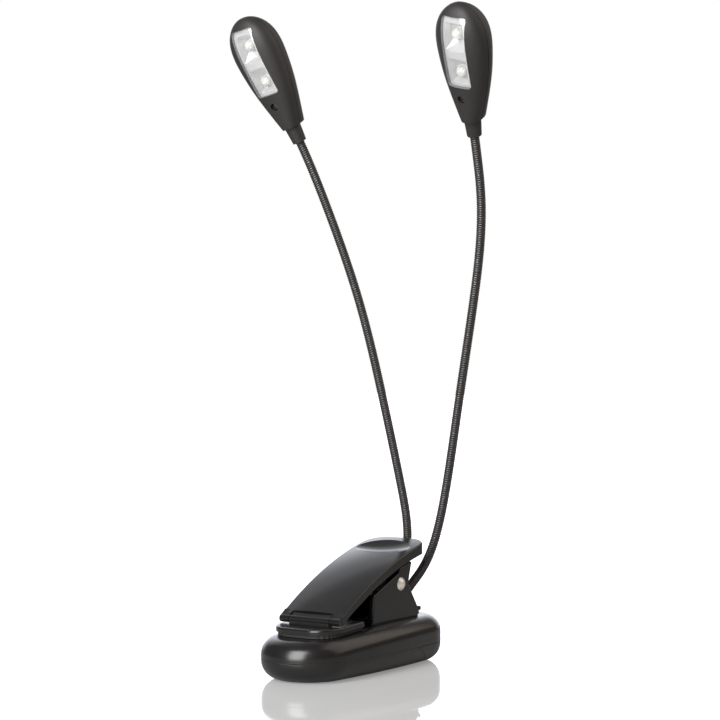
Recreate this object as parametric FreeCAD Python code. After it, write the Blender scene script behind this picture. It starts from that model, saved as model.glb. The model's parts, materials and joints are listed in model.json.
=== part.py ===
import FreeCAD, Part
import math
import os

# Clip-on reading lamp with two flexible necks.
# Millimetres. +Z is up, the jaw opens towards -Y, the necks leave towards +Y.
# The origin is the centre of the flat underside of the base.

Vector = FreeCAD.Vector
X_AXIS = Vector(1, 0, 0)
Y_AXIS = Vector(0, 1, 0)
Z_AXIS = Vector(0, 0, 1)

# Base: a pebble with a slightly crowned top
BASE_LENGTH = 108.0
BASE_WIDTH = 45.0
BASE_END_RADIUS = 21.0
BASE_BOTTOM_ROUND = 8.0
BASE_TOP_ROUND = 7.5
BASE_WALL = 2.0
BASE_CROWN_Z = 20.75
BASE_CROWN_Y = 33.0
BASE_CROWN_RADIUS = 1030.0
SEAM_Z = 8.7

# Battery bay, under the tower
CELL_RADIUS = 5.25
CELL_LENGTH = 43.7
CELL_NUB_RADIUS = 1.9
CELL_NUB_LENGTH = 0.8
CELL_PITCH = 11.0
CELL_FRONT_Y = -9.0
CELL_Z = 7.9
BAY_RIB = 1.2
BAY_SPRING_LENGTH = 2.0
BAY_HALF_WIDTH = 16.6
CONTACT_THICKNESS = 0.4
DOOR_GAP = 0.3
DOOR_SEAM_Y = 18.2
DOOR_FLOOR_Y = 30.8
TONGUE_HALF_WIDTH = 17.0
TONGUE_THICKNESS = 1.7
TONGUE_FRONT_Y = -12.0

# Screws that close the base
BASE_SCREW_SPOTS = [(-11.0, -40.0), (11.0, -40.0), (-12.0, -18.5), (12.0, -18.5)]
BASE_SCREW_RADIUS = 1.0
BASE_SCREW_HEAD_RADIUS = 2.1
BASE_SCREW_LENGTH = 11.0

# Tower: two cheeks and a slanted rear wall
TOWER_HALF_WIDTH = 13.5
TOWER_WALL = 2.3
TOWER_FRONT_Y = -3.9
TOWER_REAR_Y = 33.2
PLINTH_HEIGHT = 1.0
PIVOT_Y = 17.9
PIVOT_Z = 36.5
PIVOT_RADIUS = 1.5
RIVET_HEAD_RADIUS = 3.0
RIVET_HEAD_HEIGHT = 1.5
RUNNING_CLEARANCE = 0.06
SPRING_RADIUS = 3.1
SPRING_WIRE = 0.6
SPRING_PITCH = 1.5
SPRING_TURNS = 6
SPRING_LEVER_LEG = 10.5
SPRING_FLOOR_LEG = 12.5

# Lever: a channel with a straight front and an arched thumb end
LEVER_HALF_WIDTH = 16.0
LEVER_ARCH_CENTRE = (73.9, -133.0)
LEVER_ARCH_RADIUS = 192.3
LEVER_FRONT_Y = -32.4
LEVER_REAR_Y = 36.6
LEVER_REAR_ROUND = 7.0
LEVER_DEPTHS = (4.0, 4.2, 4.8)
LEVER_PLATE = 1.8
LEVER_SKIRT = 1.1
LEVER_LIP = 0.5
LEVER_LIP_DROP = 1.0
LEVER_CROWN = 1.0
LEVER_EDGE_ROUND = 0.7
LEVER_TRAVEL = 22.0
DISH_Y = 23.3
DISH_HALF_WIDTH = 13.9
DISH_HALF_LENGTH = 8.7
DISH_DEPTH = 2.2

# Jaw foot on its hinge at the front of the lever
HINGE_Y = -32.4
HINGE_Z = 24.65
HINGE_RADIUS = 1.6
HINGE_PIN_RADIUS = 0.8
HINGE_HALF_LENGTH = 15.7
HINGE_PIN_HALF_LENGTH = 14.2
KNUCKLE_HALF_LENGTH = 10.5
KNUCKLE_GAP = 0.3
FOOT_HALF_WIDTH = 16.5
FOOT_FRONT_Y = -42.8
FOOT_REAR_Y = -13.6
FOOT_FRONT_ROUND = 11.5
FOOT_PLATE = 2.3
FOOT_PAD = 1.5
FOOT_REST_GAP = 0.15
FOOT_LEVEL_Y = -30.0

# Necks: ridged tubes that leave the tower side by side and spread towards the heads.
# Both follow one route, mirrored, up to the last point, which is the foot of each collar.
NECK_RADIUS = 2.05
NECK_BORE = 1.1
NECK_SOCKET_RADIUS = 2.2
NECK_STEM_RADIUS = 1.98
NECK_ROUTE = [
    (6.0, 27.0, 26.4), (6.0, 36.8, 33.4), (6.2, 46.8, 40.4), (6.9, 53.4, 48.5),
    (9.0, 57.0, 61.0), (12.6, 57.4, 78.0), (20.6, 55.1, 116.0), (31.6, 50.6, 164.0),
    (42.6, 38.7, 210.0),
]
NECK_ENDS = {"left": (-48.2, 25.4, 239.0), "right": (46.7, 26.3, 236.2)}
NECK_JOINTS = [("side", 22.0), ("fore", 38.0), ("side", 72.0), ("fore", 112.0),
               ("side", 160.0), ("fore", 207.0)]
BUSHING_RADIUS = 3.4
BUSHING_LENGTH = 3.6

# Heads: teardrop shells on tapered collars; sizes run along the head's own axis.
# Each head has its own lean and a small turn about its axis, in degrees.
HEAD_LEANS = {"left": (-0.183, -0.461, 0.868), "right": (0.20, -0.533, 0.822)}
HEAD_TURNS = {"left": -4.7, "right": -0.9}
HEAD_LENGTH = 63.0
COLLAR_LENGTH = 8.0
COLLAR_BOTTOM_RADIUS = 3.3
COLLAR_TOP_RADIUS = 3.9
HEAD_WIDEST = 47.0
HEAD_HALF_WIDTHS = (4.4, 12.4)
HEAD_FRONT_DEPTHS = (5.2, 8.1)
HEAD_BACK_DEPTHS = (7.8, 10.6)
HEAD_SQUARENESS = 2.4
HEAD_WALL = 1.4
HEAD_PARTING = 0.5
HEAD_GROOVE_WIDTH = 0.3
HEAD_GROOVE_DEPTH = 0.4
WINDOW_HALF_WIDTH = 6.1
WINDOW_BOTTOM = 26.2
WINDOW_TOP = 58.8
WINDOW_CORNER = 1.6
LENS_GAP = 0.08
LED_RADIUS = 2.5
LED_BODY = 1.9
LED_STATIONS = (32.6, 50.4)
BOARD_FRONT = -1.4
BOARD_THICKNESS = 1.0
HEAD_SCREW_STATION = 20.2
HEAD_SCREW_RADIUS = 1.75
BUTTON_STATION = 45.0
BUTTON_RADIUS = 3.6
BUTTON_TRAVEL = 0.8


def box(x0, x1, y0, y1, z0, z1):
    return Part.makeBox(x1 - x0, y1 - y0, z1 - z0, Vector(x0, y0, z0))


def rod_x(radius, x0, x1, y, z):
    return Part.makeCylinder(radius, x1 - x0, Vector(x0, y, z), X_AXIS)


def rounded_wire(points, radii):
    """Closed wire through 3-D corners, each rounded by an arc of its own radius."""
    edges = []
    ends = []
    count = len(points)
    for i in range(count):
        corner, radius = points[i], radii[i]
        before = (points[i - 1] - corner).normalize()
        after = (points[(i + 1) % count] - corner).normalize()
        half = before.getAngle(after) / 2
        reach = radius / math.tan(half)
        if radius == 0:
            ends.append((corner, None, corner))
            continue
        bisector = (before + after).normalize()
        middle = corner + bisector * (radius / math.sin(half) - radius)
        ends.append((corner + before * reach, middle, corner + after * reach))
    for i in range(count):
        start, middle, finish = ends[i]
        if middle is not None:
            edges.append(Part.Arc(start, middle, finish).toShape())
        following = ends[(i + 1) % count][0]
        if finish.distanceToPoint(following) > 1e-6:
            edges.append(Part.makeLine(finish, following))
    return Part.Wire(edges)


def side_prism(profile, x0, x1, radii=None):
    """Extrude a (y, z) outline along X, with optional corner radii."""
    points = [Vector(x0, y, z) for y, z in profile]
    wire = rounded_wire(points, radii or [0] * len(points))
    return Part.Face(wire).extrude(Vector(x1 - x0, 0, 0))


def plan_prism(half_width, y0, y1, front_round, rear_round, z0, z1):
    """Rounded rectangle in plan, extruded upwards."""
    points = [Vector(-half_width, y0, z0), Vector(half_width, y0, z0),
              Vector(half_width, y1, z0), Vector(-half_width, y1, z0)]
    wire = rounded_wire(points, [front_round, front_round, rear_round, rear_round])
    return Part.Face(wire).extrude(Vector(0, 0, z1 - z0))


def mirrored(shape):
    return shape.mirror(Vector(0, 0, 0), X_AXIS)


def turned(shape, centre, axis, degrees):
    copy = shape.copy()
    copy.rotate(centre, axis, degrees)
    return copy


def save(name, *solids):
    shape = solids[0] if len(solids) == 1 else Part.makeCompound(list(solids))
    shape.exportStep("parts/" + name + ".step")


def coil(radius, wire_radius, pitch, turns):
    """Round-wire coil about +Z, starting at z = 0."""
    path = Part.Wire(Part.makeHelix(pitch, pitch * turns, radius).Edges)
    section = Part.Wire(Part.makeCircle(wire_radius, Vector(radius, 0, 0), Y_AXIS))
    return path.makePipeShell([section], True, True)


# ---------------------------------------------------------------- base

def base_top(y):
    """Height of the crowned top of the base."""
    drop = BASE_CROWN_RADIUS - math.sqrt(BASE_CROWN_RADIUS ** 2 - (y - BASE_CROWN_Y) ** 2)
    return BASE_CROWN_Z - drop


def base_plan(inset):
    """Oval of two end arcs and two long side arcs, all tangent."""
    half_width = BASE_WIDTH / 2
    end_y = BASE_LENGTH / 2 - BASE_END_RADIUS
    side_radius = ((half_width ** 2 + end_y ** 2 - BASE_END_RADIUS ** 2)
                   / (2 * (half_width - BASE_END_RADIUS)))
    towards = Vector(side_radius - half_width, end_y, 0).normalize()
    reach = BASE_END_RADIUS - inset
    corner_x = towards.x * reach
    corner_y = end_y + towards.y * reach
    side_x = half_width - inset
    tip_y = BASE_LENGTH / 2 - inset
    corners = [Vector(corner_x, -corner_y, 0), Vector(corner_x, corner_y, 0),
               Vector(-corner_x, corner_y, 0), Vector(-corner_x, -corner_y, 0)]
    middles = [Vector(side_x, 0, 0), Vector(0, tip_y, 0), Vector(-side_x, 0, 0), Vector(0, -tip_y, 0)]
    edges = [Part.Arc(corners[i], middles[i], corners[(i + 1) % 4]).toShape() for i in range(4)]
    return Part.Face(Part.Wire(edges))


def pebble(inset):
    """The base's outer form, or the same form shrunk by an inset."""
    column = base_plan(inset).extrude(Vector(0, 0, BASE_CROWN_Z + 10))
    ends = [Vector(-30, y, base_top(y) - inset) for y in (-60, 0, 60)]
    floor = [Vector(-30, 60, inset), Vector(-30, -60, inset)]
    outline = Part.Wire([Part.Arc(*ends).toShape(), Part.makeLine(ends[2], floor[0]),
                         Part.makeLine(floor[0], floor[1]), Part.makeLine(floor[1], ends[0])])
    body = column.common(Part.Face(outline).extrude(Vector(60, 0, 0)))
    bottom = [e for e in body.Edges if e.BoundBox.ZMax < inset + 0.01]
    body = body.makeFillet(BASE_BOTTOM_ROUND - inset, bottom)
    top = [e for e in body.Edges if e.BoundBox.ZMin > SEAM_Z + 5]
    return body.makeFillet(BASE_TOP_ROUND - inset, top)


def below_seam(gap=0.0):
    return box(-30, 30, -60, 60, -1, SEAM_Z - gap)


def door_zone(gap):
    """The space of the battery door: rear end below the seam, and a tongue under the cells."""
    top, middle, low = (Vector(-30, DOOR_SEAM_Y - 2.6 - gap, SEAM_Z + 1),
                        Vector(-30, DOOR_FLOOR_Y - 4.9 - gap, 4.6),
                        Vector(-30, DOOR_FLOOR_Y - gap, -1))
    far_low, far_top = Vector(-30, 60, -1), Vector(-30, 60, SEAM_Z + 1)
    outline = Part.Wire([Part.Arc(top, middle, low).toShape(), Part.makeLine(low, far_low),
                         Part.makeLine(far_low, far_top), Part.makeLine(far_top, top)])
    rear = Part.Face(outline).extrude(Vector(60, 0, 0))
    tongue = box(-TONGUE_HALF_WIDTH - gap, TONGUE_HALF_WIDTH + gap,
                 TONGUE_FRONT_Y - gap, DOOR_FLOOR_Y + 3, -1, BASE_WALL + 1)
    return rear, tongue


def base_screw(x, y):
    head = Part.makeCylinder(BASE_SCREW_HEAD_RADIUS, 1.0, Vector(x, y, 0.3))
    slot_a = box(x - 1.3, x + 1.3, y - 0.25, y + 0.25, 0.3, 0.8)
    slot_b = box(x - 0.25, x + 0.25, y - 1.3, y + 1.3, 0.3, 0.8)
    shank = Part.makeCylinder(BASE_SCREW_RADIUS, BASE_SCREW_LENGTH, Vector(x, y, 1.3))
    return head.fuse(shank).cut(slot_a).cut(slot_b).removeSplitter()


def make_base(outer, inner):
    hollow = outer.cut(inner)
    rear_zone, tongue_zone = door_zone(0)
    rear_cut, tongue_cut = door_zone(DOOR_GAP)
    lower_half = hollow.common(below_seam())

    lower = lower_half.cut(rear_cut).cut(tongue_cut)
    for x, y in BASE_SCREW_SPOTS:
        lower = lower.cut(Part.makeCylinder(BASE_SCREW_RADIUS + 0.2, 5, Vector(x, y, -1)))
        lower = lower.cut(Part.makeCylinder(BASE_SCREW_HEAD_RADIUS + 0.2, 2.3, Vector(x, y, -1)))

    cap = hollow.common(below_seam(DOOR_GAP / 2)).common(rear_zone)
    tongue = outer.common(tongue_zone).common(box(-30, 30, -60, 60, 0, TONGUE_THICKNESS))
    door = cap.fuse(tongue)
    for i in range(3):
        ridge_y = 34.0 + 3.0 * i
        door = door.cut(box(-7, 7, ridge_y, ridge_y + 1.2, -1, 0.5))
    door = door.removeSplitter()

    upper = hollow.common(box(-30, 30, -60, 60, SEAM_Z, 30))
    rib_front = CELL_FRONT_Y - BAY_SPRING_LENGTH - CONTACT_THICKNESS - BAY_RIB
    rib_rear = CELL_FRONT_Y + CELL_LENGTH + CELL_NUB_LENGTH + CONTACT_THICKNESS + BAY_SPRING_LENGTH
    room_below = pebble(BASE_WALL + 0.4).common(below_seam())
    room_above = pebble(BASE_WALL - 0.5).common(box(-30, 30, -60, 60, SEAM_Z, 30))
    for y in (rib_front, rib_rear):
        rib = box(-BAY_HALF_WIDTH, BAY_HALF_WIDTH, y, y + BAY_RIB, BASE_WALL + 0.5, BASE_CROWN_Z)
        upper = upper.fuse(rib.common(room_above)).fuse(rib.common(room_below))
    for x, y in BASE_SCREW_SPOTS:
        boss = Part.makeCylinder(BASE_SCREW_RADIUS + 1.6, 20, Vector(x, y, BASE_WALL))
        upper = upper.fuse(boss.common(room_above)).fuse(boss.common(room_below))
        upper = upper.cut(Part.makeCylinder(BASE_SCREW_RADIUS, BASE_SCREW_LENGTH, Vector(x, y, 1.3)))
    upper = upper.cut(Part.makeCylinder(2.0, 10, Vector(0, 8, SEAM_Z + 5)))
    upper = upper.removeSplitter()

    save("base_upper_shell", upper)
    save("base_lower_shell", lower)
    save("battery_door", door)
    save("base_screws", *[base_screw(x, y) for x, y in BASE_SCREW_SPOTS])
    return rib_front + BAY_RIB, rib_rear


def make_cells(bay_front, bay_rear):
    """Three cells, alternate ways round, with a coil at each flat end and a strip at each nub."""
    springs, strips = [], []
    for i in range(3):
        x = (i - 1) * CELL_PITCH
        can = Part.makeCylinder(CELL_RADIUS, CELL_LENGTH, Vector(x, CELL_FRONT_Y, CELL_Z), Y_AXIS)
        nub = Part.makeCylinder(CELL_NUB_RADIUS, CELL_NUB_LENGTH,
                                Vector(x, CELL_FRONT_Y + CELL_LENGTH, CELL_Z), Y_AXIS)
        cell = can.fuse(nub).removeSplitter()
        spring = coil(2.4, 0.3, 1.1, 1.25)
        spring.rotate(Vector(0, 0, 0), X_AXIS, 90)
        spring.translate(Vector(x, CELL_FRONT_Y - 0.31, CELL_Z))
        if i == 1:
            middle_y = CELL_FRONT_Y + CELL_LENGTH / 2 + 0.4
            cell = turned(cell, Vector(x, middle_y, CELL_Z), Z_AXIS, 180)
            spring = turned(spring, Vector(x, middle_y, CELL_Z), Z_AXIS, 180)
        save("battery_cell_%d" % (i + 1), cell)
        springs.append(spring)
    for y, spans in ((bay_front, ((-14.5, -7.5), (-3.5, 14.5))),
                     (bay_rear - CONTACT_THICKNESS, ((-14.5, 3.5), (7.5, 14.5)))):
        for x0, x1 in spans:
            strips.append(box(x0, x1, y, y + CONTACT_THICKNESS, CELL_Z - 3, CELL_Z + 3))
    save("battery_springs", *springs)
    save("battery_contacts", *strips)


# ---------------------------------------------------------------- tower and pivot

SLANT_TOP = (24.2, 36.3)
SLANT_FOOT = (TOWER_REAR_Y, 23.6)
TOWER_PROFILE = [
    (TOWER_FRONT_Y, 21.1), (TOWER_FRONT_Y, 33.0), (15.6, 41.2), (17.4, 43.6),
    (27.3, 46.3), SLANT_TOP, SLANT_FOOT, (TOWER_REAR_Y, 21.7),
]
TOWER_ROUNDS = [0, 1.2, 1.0, 1.5, 0.8, 1.5, 0.8, 0]
TOWER_EDGE_ROUND = 0.8
TOWER_FLOOR_Z = 22.6
REAR_WALL_TOP_Z = 35.1


def tower_well_y(z):
    """Inside face of the slanted rear wall at a height."""
    run, fall = SLANT_FOOT[0] - SLANT_TOP[0], SLANT_TOP[1] - SLANT_FOOT[1]
    outside = SLANT_TOP[0] + (SLANT_TOP[1] - z) * run / fall
    return outside - TOWER_WALL * math.hypot(run, fall) / fall


def make_tower(outer):
    cheeks = side_prism(TOWER_PROFILE, -TOWER_HALF_WIDTH, TOWER_HALF_WIDTH, TOWER_ROUNDS)
    rear_edges = [e for e in cheeks.Edges if abs(e.CenterOfMass.x) > TOWER_HALF_WIDTH - 0.1
                  and e.CenterOfMass.y > 20 and e.BoundBox.ZMin > 22.5]
    cheeks = cheeks.makeFillet(TOWER_EDGE_ROUND, rear_edges)
    well = side_prism([(TOWER_FRONT_Y - 1, TOWER_FLOOR_Z), (TOWER_FRONT_Y - 1, 60), (40, 60),
                       (40, REAR_WALL_TOP_Z), (tower_well_y(REAR_WALL_TOP_Z), REAR_WALL_TOP_Z),
                       (tower_well_y(TOWER_FLOOR_Z), TOWER_FLOOR_Z)],
                      TOWER_WALL - TOWER_HALF_WIDTH, TOWER_HALF_WIDTH - TOWER_WALL)
    bead = rod_x(1.0, -TOWER_HALF_WIDTH, TOWER_HALF_WIDTH, TOWER_REAR_Y + 0.1, 24.2)
    plinth = plan_prism(TOWER_HALF_WIDTH - 0.5, TOWER_FRONT_Y + 0.6, TOWER_REAR_Y + 1.4, 1.5, 3.0, 18, 22.3)
    tower = cheeks.cut(well).fuse(bead).fuse(plinth.cut(outer)).cut(outer)
    tower = tower.cut(rod_x(PIVOT_RADIUS, -20, 20, PIVOT_Y, PIVOT_Z))
    tower = tower.cut(Part.makeCylinder(2.0, 10, Vector(0, 8, 15)))
    for side in (-1, 1):
        tower = tower.cut(bushing_blank(side, BUSHING_RADIUS - 0.7, 12, -6))
    save("tower", tower.removeSplitter())


def bushing_blank(side, radius, length, start):
    """Cylinder about the first straight stretch of a neck, where it crosses the rear wall."""
    first, second = [Vector(*p) for p in NECK_ROUTE[:2]]
    along = (second - first).normalize()
    at_wall = first + along * 1.6
    blank = Part.makeCylinder(radius, length, at_wall + along * start, along)
    return mirrored(blank) if side < 0 else blank


def make_bushings():
    bushings = []
    for side in (-1, 1):
        flange = bushing_blank(side, BUSHING_RADIUS, 0.9, 2.0)
        sleeve = bushing_blank(side, BUSHING_RADIUS - 0.7, BUSHING_LENGTH, -1.6)
        bore = bushing_blank(side, NECK_RADIUS, 20, -10)
        bushings.append(flange.fuse(sleeve).cut(bore).removeSplitter())
    return bushings


def make_pivot():
    pin = rod_x(PIVOT_RADIUS, -TOWER_HALF_WIDTH, TOWER_HALF_WIDTH, PIVOT_Y, PIVOT_Z)
    dome_radius = (RIVET_HEAD_RADIUS ** 2 + RIVET_HEAD_HEIGHT ** 2) / (2 * RIVET_HEAD_HEIGHT)
    centre_x = TOWER_HALF_WIDTH + RIVET_HEAD_HEIGHT - dome_radius
    dome = Part.makeSphere(dome_radius, Vector(centre_x, PIVOT_Y, PIVOT_Z))
    dome = dome.common(box(TOWER_HALF_WIDTH, 30, 0, 40, 20, 50))
    save("pivot_pin", pin.fuse(dome).fuse(mirrored(dome)).removeSplitter())


def make_torsion_spring():
    """Coil about the pivot; one leg reaches up under the lever, the other down to the tower floor."""
    length = SPRING_PITCH * SPRING_TURNS
    spring = coil(SPRING_RADIUS, SPRING_WIRE, SPRING_PITCH, SPRING_TURNS)
    spring.rotate(Vector(0, 0, 0), Y_AXIS, 90)
    low_end = Vector(0, 0, -SPRING_RADIUS)
    floor_leg = Part.makeCylinder(SPRING_WIRE, SPRING_FLOOR_LEG, low_end, Y_AXIS * -1)
    lever_leg = Part.makeCylinder(SPRING_WIRE, SPRING_LEVER_LEG, low_end + X_AXIS * length, Y_AXIS)
    whole = turned(spring.fuse(floor_leg).fuse(lever_leg), Vector(0, 0, 0), X_AXIS, 90)
    save("torsion_spring", whole.translated(Vector(-length / 2, PIVOT_Y, PIVOT_Z)))


# ---------------------------------------------------------------- lever

def on_arch(y, x=0.0, height=0.0):
    """Point of the lever's crest line at a y, moved sideways and raised along the arch's normal."""
    centre_y, centre_z = LEVER_ARCH_CENTRE
    angle = math.asin((y - centre_y) / LEVER_ARCH_RADIUS)
    radius = LEVER_ARCH_RADIUS + height
    return Vector(x, centre_y + radius * math.sin(angle), centre_z + radius * math.cos(angle))


def arch_slope(y):
    """Slope of the lever's crest line, in degrees."""
    return math.degrees(math.asin((LEVER_ARCH_CENTRE[0] - y) / LEVER_ARCH_RADIUS))


def lever_band(half_width, top, bottom, start_y=LEVER_FRONT_Y - 6, end_y=LEVER_REAR_Y + 4):
    """Crowned section turned about the arch's centre; top and bottom are heights over the crest."""
    edge = top - LEVER_CROWN * (half_width / LEVER_HALF_WIDTH) ** 2
    corners = [on_arch(start_y, x, h) for x, h in
               ((-half_width, edge), (0, top), (half_width, edge), (half_width, bottom), (-half_width, bottom))]
    section = Part.Wire([Part.Arc(corners[0], corners[1], corners[2]).toShape(),
                         Part.makePolygon(corners[2:] + corners[:1])])
    return Part.Face(section).revolve(Vector(0, *LEVER_ARCH_CENTRE), X_AXIS,
                                      arch_slope(end_y) - arch_slope(start_y))


def foot_swing():
    """Space under the lever that the foot takes up when the jaw is fully open."""
    reach = FOOT_REAR_Y - HINGE_Y + 1.0
    block = box(-25, 25, HINGE_Y - 12, HINGE_Y + reach, HINGE_Z - 12, HINGE_Z - HINGE_RADIUS + 0.1)
    return turned(block, Vector(0, HINGE_Y, HINGE_Z), X_AXIS, LEVER_TRAVEL + foot_tilt() + 1.5)


def over_skirt(drop, x0, x1):
    """Everything above the lower edge of the lever's skirts, which rounds up at the rear end."""
    places = zip((LEVER_FRONT_Y - 8, 0, LEVER_REAR_Y - 4.2), LEVER_DEPTHS)
    front, middle, rear_low = [on_arch(y, x0, -depth - drop) for y, depth in places]
    rear_mid = rear_low + Vector(0, 2.7, 1.0)
    rear_high = rear_low + Vector(0, 4.8, 2.6)
    roof = [Vector(x0, rear_high.y + 0.6, 80), Vector(x0, front.y, 80)]
    outline = Part.Wire([Part.Arc(front, middle, rear_low).toShape(),
                         Part.Arc(rear_low, rear_mid, rear_high).toShape(),
                         Part.makePolygon([rear_high] + roof + [front])])
    return Part.Face(outline).extrude(Vector(x1 - x0, 0, 0))


def lever_channel():
    """Arched plate with skirts; the skirts' inner face reaches a little lower than the outer one."""
    outer = lever_band(LEVER_HALF_WIDTH, 0, -LEVER_DEPTHS[2] - 3)
    outer = outer.common(plan_prism(LEVER_HALF_WIDTH, LEVER_FRONT_Y + 0.4, LEVER_REAR_Y,
                                    1.0, LEVER_REAR_ROUND, 10, 70))
    rim = [e for e in outer.Edges if abs(top_height(e.CenterOfMass)) < LEVER_CROWN + 0.5 and e.Length > 1]
    outer = outer.makeFillet(LEVER_EDGE_ROUND, rim)
    lip_x = LEVER_HALF_WIDTH - LEVER_SKIRT + LEVER_LIP
    middle = outer.common(over_skirt(LEVER_LIP_DROP, -lip_x, lip_x))
    outer = outer.common(over_skirt(0, -30, 30)).fuse(middle)
    inside = LEVER_HALF_WIDTH - LEVER_SKIRT
    cavity = lever_band(inside, -LEVER_PLATE, -LEVER_DEPTHS[2] - 4)
    cavity = cavity.common(plan_prism(inside, LEVER_FRONT_Y + 6, LEVER_REAR_Y - 2.0,
                                      1.0, LEVER_REAR_ROUND - LEVER_SKIRT, 10, 70))
    thumb_boss = lever_band(10.5, -1.0, -LEVER_PLATE - 1.6, DISH_Y - 8, DISH_Y + 8)
    return outer.cut(cavity).fuse(thumb_boss)


def at_hinge(shape):
    """Move a shape drawn about the origin to the foot's hinge, turned to the lever's slope there."""
    turned_shape = turned(shape, Vector(0, 0, 0), X_AXIS, arch_slope(HINGE_Y))
    return turned_shape.translated(Vector(0, HINGE_Y, HINGE_Z))


def make_lever():
    gap_x = KNUCKLE_HALF_LENGTH + KNUCKLE_GAP
    lever = lever_channel().cut(foot_swing()).cut(at_hinge(box(-gap_x, gap_x, -6, 3.4, -6, 6)))
    for side in (-1, 1):
        x0, x1 = sorted((side * gap_x, side * HINGE_HALF_LENGTH))
        knuckle = rod_x(HINGE_RADIUS, x0, x1, HINGE_Y, HINGE_Z)
        web = at_hinge(box(x0, x1, 0.2, 4.5, 0.5 - HINGE_RADIUS, HINGE_RADIUS - 0.1))
        lever = lever.fuse(knuckle).fuse(web.cut(foot_swing()))
        x0, x1 = sorted((side * 8.0, side * (TOWER_HALF_WIDTH - TOWER_WALL - 0.3)))
        lug = side_prism([(PIVOT_Y - 3.4, PIVOT_Z), (PIVOT_Y - 7.5, 47.4), (PIVOT_Y + 7.0, 51.4),
                          (PIVOT_Y + 3.4, PIVOT_Z)], x0, x1)
        lever = lever.fuse(lug.fuse(rod_x(3.4, x0, x1, PIVOT_Y, PIVOT_Z)))

    lever = lever.cut(thumb_dish())
    lever = lever.cut(rod_x(PIVOT_RADIUS + RUNNING_CLEARANCE, -20, 20, PIVOT_Y, PIVOT_Z))
    lever = lever.cut(rod_x(HINGE_PIN_RADIUS, -HINGE_PIN_HALF_LENGTH, HINGE_PIN_HALF_LENGTH, HINGE_Y, HINGE_Z))
    save("lever", lever.removeSplitter())


def thumb_dish():
    """Long shallow scoop: an arc turned about a line along X, over the lever."""
    turn_radius = (DISH_HALF_LENGTH ** 2 + DISH_DEPTH ** 2) / (2 * DISH_DEPTH)
    end_height = -LEVER_CROWN * (DISH_HALF_WIDTH / LEVER_HALF_WIDTH) ** 2
    axis_height = turn_radius - DISH_DEPTH
    left, low, right = (on_arch(DISH_Y, x, h) for x, h in
                        ((-DISH_HALF_WIDTH, end_height), (0, -DISH_DEPTH), (DISH_HALF_WIDTH, end_height)))
    axis_left, axis_right = (on_arch(DISH_Y, x, axis_height) for x in (-DISH_HALF_WIDTH, DISH_HALF_WIDTH))
    outline = Part.Wire([Part.Arc(left, low, right).toShape(),
                         Part.makePolygon([right, axis_right, axis_left, left])])
    return Part.Face(outline).revolve(axis_left, X_AXIS, 360)


def top_height(point):
    """Height of a point over the lever's crest line."""
    centre_y, centre_z = LEVER_ARCH_CENTRE
    return math.hypot(point.y - centre_y, point.z - centre_z) - LEVER_ARCH_RADIUS


# ---------------------------------------------------------------- jaw foot

def foot_tilt():
    """Slope of the base's top under the foot, in degrees."""
    return math.degrees(math.asin((BASE_CROWN_Y - FOOT_LEVEL_Y) / BASE_CROWN_RADIUS))


def laid_on_base(shape):
    """Place a shape drawn on z = 0 so that z = 0 rests just over the base's top."""
    return turned(shape.translated(Vector(0, 0, base_top(FOOT_LEVEL_Y) + FOOT_REST_GAP)),
                  Vector(0, FOOT_LEVEL_Y, base_top(FOOT_LEVEL_Y) + FOOT_REST_GAP), X_AXIS, foot_tilt())


def make_foot():
    pad = plan_prism(FOOT_HALF_WIDTH - 0.8, FOOT_FRONT_Y + 0.8, FOOT_REAR_Y - 0.8,
                     FOOT_FRONT_ROUND - 0.8, 1.7, 0, FOOT_PAD)
    plate = plan_prism(FOOT_HALF_WIDTH, FOOT_FRONT_Y, FOOT_REAR_Y, FOOT_FRONT_ROUND, 2.5,
                       FOOT_PAD, FOOT_PAD + FOOT_PLATE)
    rim = [e for e in plate.Edges if e.BoundBox.ZMin > FOOT_PAD + FOOT_PLATE - 0.01]
    foot = laid_on_base(plate.makeFillet(0.9, rim))
    x = KNUCKLE_HALF_LENGTH
    web = box(-x, x, HINGE_Y - 1.4, HINGE_Y + 1.3, HINGE_Z - 3.0, HINGE_Z)
    ledge = at_hinge(box(0.3 - x, x - 0.3, 0, 3.0, 0.2, HINGE_RADIUS - 0.3))
    foot = foot.fuse(web).fuse(rod_x(HINGE_RADIUS, -x, x, HINGE_Y, HINGE_Z)).fuse(ledge)
    foot = foot.cut(rod_x(HINGE_PIN_RADIUS + RUNNING_CLEARANCE, -20, 20, HINGE_Y, HINGE_Z))
    save("jaw_foot", foot.removeSplitter())
    save("jaw_foot_pad", laid_on_base(pad))
    save("jaw_hinge_pin", rod_x(HINGE_PIN_RADIUS, -HINGE_PIN_HALF_LENGTH, HINGE_PIN_HALF_LENGTH,
                                HINGE_Y, HINGE_Z))


# ---------------------------------------------------------------- necks

def neck_curve(side):
    sign = -1 if side == "left" else 1
    curve = Part.BSplineCurve()
    spots = [Vector(sign * x, y, z) for x, y, z in NECK_ROUTE] + [Vector(*NECK_ENDS[side])]
    curve.interpolate(Points=spots, InitialTangent=spots[1] - spots[0],
                      FinalTangent=Vector(*HEAD_LEANS[side]))
    return curve


def neck_joints(side):
    """Kind, centre and hinge axis of each joint: side joints swing towards +X, fore joints towards -Y."""
    curve = neck_curve(side)
    joints = []
    for kind, distance in NECK_JOINTS:
        t = curve.parameterAtDistance(distance, curve.FirstParameter)
        tangent = curve.tangent(t)[0]
        towards = X_AXIS if kind == "side" else Y_AXIS * -1
        joints.append((kind, curve.value(t), tangent.cross(towards).normalize()))
    return joints


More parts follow.
